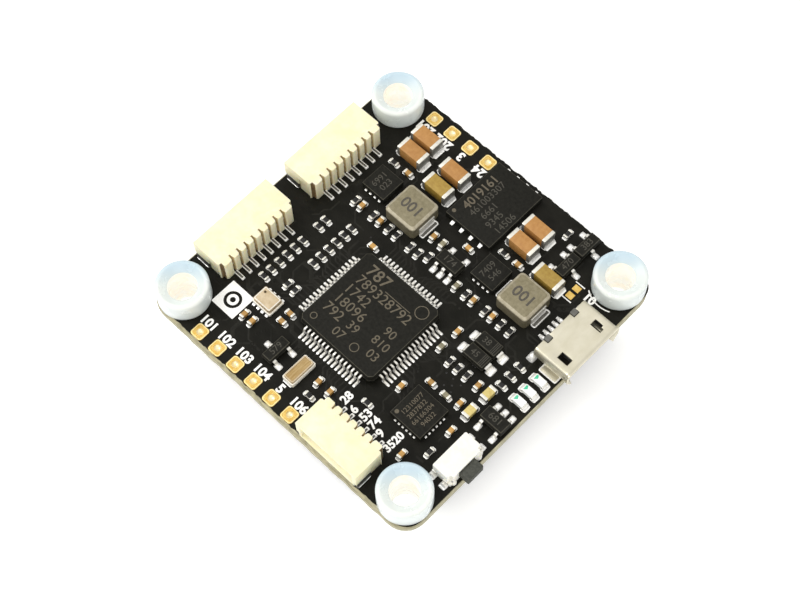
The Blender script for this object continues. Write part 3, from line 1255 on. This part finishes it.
def socket(name, ways, places, housing_node, contact_node, tab_node):
    """One kind of cable socket; each place is a matrix with the middle of the rear face at its origin."""
    box = solids(housing_node)[0]
    s = size(box)
    width, depth = max(s.x, s.y), min(s.x, s.y)
    height = box[1].z - TOP
    build = Build()
    tools = []
    for place in places:
        build.add(socket_housing(ways, width, depth, height), NYLON, place)
        for points, faces in socket_hollows(width, depth):
            tools.append(([place @ p for p in points], faces))
    obj = build.finish(name + "_housing_moulded", [housing_node])
    cut(obj, tools)
    soften(obj, 0.07)
    shade_housing(obj, [place.inverted() for place in places], ways, width, height)
    pins = Build()
    top = TOP + height - 0.7
    for place in places:
        for u in way_places(ways):
            pins.add(soft_box((u - 0.1, -3.6, TOP + 1.3), (u + 0.1, -0.3, TOP + 1.55), 0.03), TIN, place)
            pins.add(soft_box((u - 0.1, -0.6, TOP + 0.02), (u + 0.1, -0.44, top), 0.03), TIN, place)
            foot = soft_box((u - 0.09, -0.4, TOP + 0.01), (u + 0.09, 0.93, TOP + 0.16), 0.03)
            pins.add(foot, TIN_DULL, place)
            rim_line = [round_rect(u - 0.2, -0.15, u + 0.2, 1.08, 0.1),
                        round_rect(u - 0.1, -0.05, u + 0.1, 0.95, 0.04)]
            solder.add(flat_shape(rim_line, TOP, 0.15, 0.035), SOLDER, place)
            solder.add(mound(0.44, 0.3, 0.13), SOLDER, place @ at(u, 0.98, TOP, 90))
    pins.finish(name + "_contacts_formed", [contact_node])
    tabs = Build()
    for b in solids(tab_node):
        c, s = middle(b), size(b)
        inset = Vector((0.02, 0.02, 0))
        tabs.add(soft_box(b[0], (b[1].x, b[1].y, b[0].z + 0.15), 0.04), TIN_DULL)
        tabs.add(soft_box(b[0] + inset, b[1] - inset, 0.05), TIN_DULL)
        solder.add(mound(max(s.x, s.y), min(s.x, s.y) + 0.12, 0.05), SOLDER,
                   at(c.x, c.y, TOP, 90 if s.x > s.y else 0))
    tabs.finish(name + "_tabs_formed", [tab_node])


side_box = solids("side_socket_housing")[0]
side_place = at(middle(side_box).x, side_box[1].y)
socket("side_socket", 6, [side_place], "side_socket_housing", "side_socket_contacts", "side_socket_tabs")
wire_places = [at(b[1].x, middle(b).y, 0, -90) for b in solids("wire_socket_housings")]
socket("wire_socket", 8, wire_places, "wire_socket_housings", "wire_socket_contacts", "wire_socket_tabs")

# ---------------------------------------------------------------- USB socket
usb_low, usb_high = node_box("usb_shell")
usb_y = (usb_low.y + usb_high.y) / 2
REAR = 14.4
ROOF = 2.5                    # top of the shell above the board
WALL = 0.22
SIDE_TAB = (15.6, 17.7)
SIDE_FOOT = 3.0               # the legs under the shell stand this far from its middle
WIDE = 3.7
NARROW = 2.75
BEND_RADIUS = 0.4
WINDOW = (2.0, 2.8)
NOTCH = (1.5, 2.3)
WINDOW_X = (16.55, 17.85)
NOTCH_END = 14.95
FINGER = (17.55, 2.5)         # corner of the +Y window that is left standing as a spring finger
LOWER_LIP = 17.9              # the lower wall stops here, at the edge of the board


def usb_loop(x, grow):
    """Closed outline of the shell across the socket, rounded at the bends."""
    wide, narrow = WIDE + grow, NARROW + grow
    roof, bend = ROOF + grow, 1.1
    y, z = wide - BEND_RADIUS, roof - BEND_RADIUS
    half = [(across, roof) for across in (0.75, NOTCH[0], WINDOW[0], NOTCH[1], FINGER[1], WINDOW[1], y)]
    for k in range(1, 6):
        a = math.radians(90 - 18 * k)
        half.append((y + BEND_RADIUS * math.cos(a), z + BEND_RADIUS * math.sin(a)))
    half += [(wide, bend + 0.25), (wide - 0.05, bend), (wide - 0.2, bend - 0.22),
             (narrow + 0.35, 0.25 - grow), (narrow + 0.15, 0.06 - grow), (narrow - 0.1, -grow), (1.0, -grow)]
    return [(x, usb_y + y, TOP + z) for y, z in mirrored(half)]


def in_opening(centre):
    """True inside a window or notch of the roof, and in front of the board's edge in the lower wall."""
    if centre.z < TOP + ROOF - 0.05:
        return centre.z < TOP + 0.3 and centre.x > LOWER_LIP
    off = centre.y - usb_y
    if off > FINGER[1] and centre.x > FINGER[0]:
        return False
    window = WINDOW_X[0] < centre.x < WINDOW_X[1] and WINDOW[0] < abs(off) < WINDOW[1]
    notch = centre.x < NOTCH_END and NOTCH[0] < abs(off) < NOTCH[1]
    return window or notch


shell_stations = [(REAR, 0), (NOTCH_END, 0), (WINDOW_X[0], 0), (FINGER[0], 0), (WINDOW_X[1], 0), (18.4, 0),
                  (18.5, 0.02), (18.62, 0.07), (18.8, 0.12)]
points, faces = turned_over(tube_between([usb_loop(x, grow) for x, grow in shell_stations]))
faces = [f for f in faces if not in_opening(sum((Vector(points[i]) for i in f), Vector()) / len(f))]
shell = Build()
shell.look(STEEL)
shell.look(DARK_STEEL)
shell.add((points, faces), STEEL)
shell_obj = shell.finish("usb_shell_formed", ["usb_shell"])
sheet = shell_obj.modifiers.new("sheet", "SOLIDIFY")
sheet.thickness = WALL * MM
sheet.offset = -1
sheet.material_offset = 1
applied(shell_obj)
soften(shell_obj, 0.035, 2, 50)
for face in shell_obj.data.polygons:
    if face.center.x > 17.95 * MM and face.material_index:
        face.material_index = 0
usb_feet = Build()
for side in (-1, 1):
    y = usb_y + side * WIDE
    inner = usb_y + side * SIDE_FOOT
    x0, x1 = SIDE_TAB
    usb_feet.add(soft_box((x0, y - 0.5, TOP + 0.01), (x1, y + 0.48, TOP + 0.2), 0.06), STEEL)
    rim_line = [round_rect(x0 - 0.05, y - 0.52, x1 + 0.05, y + 0.52, 0.2),
                round_rect(x0 + 0.1, y - 0.36, x1 - 0.1, y + 0.36, 0.12)]
    usb_feet.add(flat_shape(rim_line, TOP + 0.12, 0.16, 0.05), SOLDER)
    usb_feet.add(soft_box((x0, inner - 0.2, TOP + 0.01), (x1 - 0.1, inner + 0.2, TOP + 0.8), 0.08), STEEL)
    usb_feet.add(soft_box((14.25, inner - 0.1, TOP + 0.01), (14.9, inner + 0.75, TOP + 0.6), 0.08), STEEL)
    solder.add(mound(1.15, 0.9, 0.62, 8), SOLDER, at(14.2, usb_y + side * 3.5, TOP))
usb_feet.finish("usb_shell_feet")
usb_black = Build()
block = WIDE - WALL - 0.03
roof = ROOF - WALL - 0.03
outline = [(-block, roof), (block, roof), (block, 1.15), (NARROW - WALL, 0.22), (-NARROW + WALL, 0.22),
           (-block, 1.15)]
loops = [[(x, usb_y + y, TOP + z) for y, z in outline] for x in (14.42, 15.45)]
usb_black.add(turned_over(tube_between(loops, capped=True)), BLACK)
usb_black.add(soft_box((15.3, usb_y - 1.95, TOP + 1.36), (17.9, usb_y + 1.95, TOP + 1.95), 0.08), BLACK)
for y in (usb_y - 1.9, usb_y + 1.9):
    usb_black.add(soft_box((14.3, y - 0.34, TOP + 1.7), (14.9, y + 0.34, TOP + ROOF + 0.12)), GREY_BLOCK)
usb_black.finish("usb_insulator_moulded", ["usb_insulator"])
pins = Build()
for low, high in solids("usb_contacts"):
    pins.add(soft_box((14.3, low.y, TOP + 1.22), (17.5, high.y, TOP + 1.35), 0.03), GOLD)
    pins.add(soft_box((14.18, low.y, TOP + 0.05), (14.32, high.y, TOP + 1.3), 0.03), TIN)
    pins.add(soft_box((13.3, low.y, TOP + 0.01), (14.3, high.y, TOP + 0.16), 0.04), TIN)
    y = (low.y + high.y) / 2
    solder.add(mound(0.46, 1.0, 0.34), SOLDER, at(13.75, y, TOP))
    solder.add(fillet(0.3, 0.25, 0.14, 4, 3), SOLDER, at(13.32, y, TOP, 180))
pins.finish("usb_contacts_formed", ["usb_contacts"])

# ---------------------------------------------------------------- push button
body_top = node_box("button_housing")[1].z
cover_low, cover_high = node_box("button_cover")
plunger_low, plunger_high = node_box("button_plunger")
dome_low, dome_high = node_box("button_dome")
button_y = (cover_low.y + cover_high.y) / 2
front = cover_high.x
WINDOW_HALF = 1.09            # half width of the plunger's window
POST_OFF = 1.75               # the two front posts stand this far from the middle
housing = Build()
housing.add(prism(inner_rect((cover_low, cover_high), 0, 0.12, 3), TOP, body_top), CREAM)
obj = housing.finish("button_body_moulded", ["button_housing"])
above = body_top + 1
hollows = [
    plain_box((cover_low.x + 0.4, cover_low.y + 0.5, TOP + 0.3), (front - 0.4, cover_high.y - 0.5, above)),
    plain_box((front - 0.6, button_y - WINDOW_HALF, TOP + 0.34),
              (front + 1, button_y + WINDOW_HALF, above)),
]
for side in (-1, 1):
    y = button_y + side * 1.85
    hollows.append(plain_box((front - 0.38, y, TOP + 0.5), (front + 1, y + side, above)))
cut(obj, hollows)
soften(obj, 0.06)
posts = Build()
post = lathe([(0.0, 0.0), (0.32, 0.0), (0.32, 0.35), (0.28, 0.45), (0.2, 0.5), (0.0, 0.5)], 24)
for side in (-1, 1):
    posts.add(post, CREAM, at(front - 0.1, button_y + side * POST_OFF, TOP))
posts.finish("button_front_posts")
half = (cover_high - cover_low) / 2
lid_half = [(half.x, half.y - 0.5), (half.x - 0.04, half.y - 0.45), (half.x - 0.38, half.y - 0.4),
            (half.x - 0.42, half.y), (0.1 - half.x, half.y), (-half.x, half.y - 0.1)]
centre = (cover_low + cover_high) / 2
plate = [(centre.x + x, centre.y + y) for x, y in lid_half]
plate += [(x, 2 * centre.y - y) for x, y in reversed(plate)]
cover = Build()
cover.add(flat_shape([plate], cover_low.z, cover_high.z - cover_low.z, 0.05), CREAM)
cover.finish("button_lid", ["button_cover"])
plunger = Build()
tip = (plunger_high.x, button_y + 1.05, TOP + 1.5)
plunger.add(soft_box((17.0, button_y - 1.05, TOP + 0.4), tip, 0.13, 3), PLUNGER)
stop = (17.14, button_y + 1.4, plunger_high.z)
plunger.add(soft_box((16.6, button_y - 1.4, plunger_low.z), stop), PLUNGER)
nub = lathe([(0.0, 0.0), (0.26, 0.0), (0.35, 0.08), (0.35, 0.35), (0.0, 0.35)], 20)
sideways = Matrix.Rotation(math.radians(90), 4, "Y")
plunger.add(nub, PLUNGER, at(plunger_low.x, button_y, TOP + 0.95) @ sideways)
plunger.finish("button_plunger_textured", ["button_plunger"], body=MOVING)
legs = Build()
for b in solids("button_contacts"):
    c = middle(b)
    if size(b).y > 2:
        legs.add(soft_box(*b, 0.01, 1), TIN)
        continue
    side = 1 if c.y > button_y else -1
    wall = cover_high.y if side > 0 else cover_low.y
    legs.add(soft_box((b[0].x, wall, TOP + 0.01), (b[1].x, wall + side * 0.13, b[1].z), 0.04), TIN)
    legs.add(soft_box((b[0].x, b[0].y, TOP + 0.01), (b[1].x, b[1].y, TOP + 0.14), 0.04), TIN)
    solder.add(fillet(0.6, 0.3, 0.3), SOLDER, at(c.x, wall + side * 0.33, TOP, 90 * side))
    solder.add(mound(0.8, 0.8, 0.1), SOLDER, at(c.x, wall + side * 0.3, TOP))
legs.finish("button_legs", ["button_contacts"])

# sprung dome strip: a thin bowed sheet that flattens when the plunger is pressed
SHEET = 0.06
DOME_STEPS = 16
bow = dome_high.x - dome_low.x - SHEET
reach = (dome_high.y - dome_low.y) / 2
turns = [-1 + 2 * i / DOME_STEPS for i in range(DOME_STEPS + 1)]
rows = [[(dome_low.x + grow + bow * (1 - t * t), button_y + t * reach) for t in turns] for grow in (0, SHEET)]
dome = Build()
dome.add(prism(rows[0] + rows[1][::-1], dome_low.z, dome_high.z), SPRING)
dome_obj = dome.finish("button_spring_dome", ["button_dome"])
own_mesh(dome_obj)

solder.finish("solder_joints", angle=70)

# ---------------------------------------------------------------- studio
HORIZON_LIGHT = 0.18
ZENITH_LIGHT = 1.1
FLOOR_GAP = 0.0002            # metres below the lowest point of the part
bpy.ops.mesh.primitive_plane_add(size=3, location=(0, 0, cad_box[0].z - FLOOR_GAP))
floor = bpy.context.object
floor.name = "studio_floor"
floor.data.materials.append(FLOOR)

# soft tent: bright overhead, darker towards the horizon
world = bpy.data.worlds.new("studio")
bpy.context.scene.world = world
world.use_nodes = True
tree = world.node_tree
direction = add_node(tree, "TexCoord").outputs["Generated"]
height = add_node(tree, "SeparateXYZ", Vector=direction).outputs["Z"]
sky = tree.nodes["Background"].inputs
feed(tree, sky["Strength"], ranged(tree, height, 0.0, 0.9, HORIZON_LIGHT, ZENITH_LIGHT))
feed(tree, sky["Color"], (1.0, 0.99, 0.965, 1))


def lamp(name, location, side, power):
    """Square lamp in metres and watts, turned to the middle of the part."""
    data = bpy.data.lights.new(name, "AREA")
    data.shape = "SQUARE"
    data.size = side
    data.energy = power
    obj = bpy.data.objects.new(name, data)
    bpy.context.scene.collection.objects.link(obj)
    obj.location = location
    obj.rotation_euler = (-Vector(location)).to_track_quat("-Z", "Y").to_euler()


lamp("key", (-0.28, -0.14, 0.36), 0.24, 0.75)
lamp("fill", (0.20, -0.20, 0.36), 0.24, 0.45)
bpy.context.scene.view_settings.view_transform = "Standard"

# camera: round to the right of the front, well above the board
AZIMUTH = math.radians(46.44)
ELEVATION = math.radians(64.625)
ROLL = math.radians(-2.557)
DISTANCE = 161.7
LENS = 73.08
SHIFT = (-0.148, -0.877)
flat = math.cos(ELEVATION)
back = Vector((math.sin(AZIMUTH) * flat, -math.cos(AZIMUTH) * flat, math.sin(ELEVATION)))
right = Vector((math.cos(AZIMUTH), math.sin(AZIMUTH), 0))
up = back.cross(right)
rolled_right = math.cos(ROLL) * right + math.sin(ROLL) * up
rolled_up = -math.sin(ROLL) * right + math.cos(ROLL) * up
camera_data = bpy.data.cameras.new("camera")
camera = bpy.data.objects.new("camera", camera_data)
bpy.context.scene.collection.objects.link(camera)
camera_data.lens = LENS
camera_data.sensor_width = 36.0
camera_data.clip_start = 0.005
camera_data.clip_end = 10.0
place = back * DISTANCE + rolled_right * SHIFT[0] + rolled_up * SHIFT[1] + Vector((0, 0, TOP))
facing = Matrix((rolled_right, rolled_up, back)).transposed().to_4x4()
camera.matrix_world = Matrix.Translation(place * MM) @ facing
bpy.context.scene.camera = camera
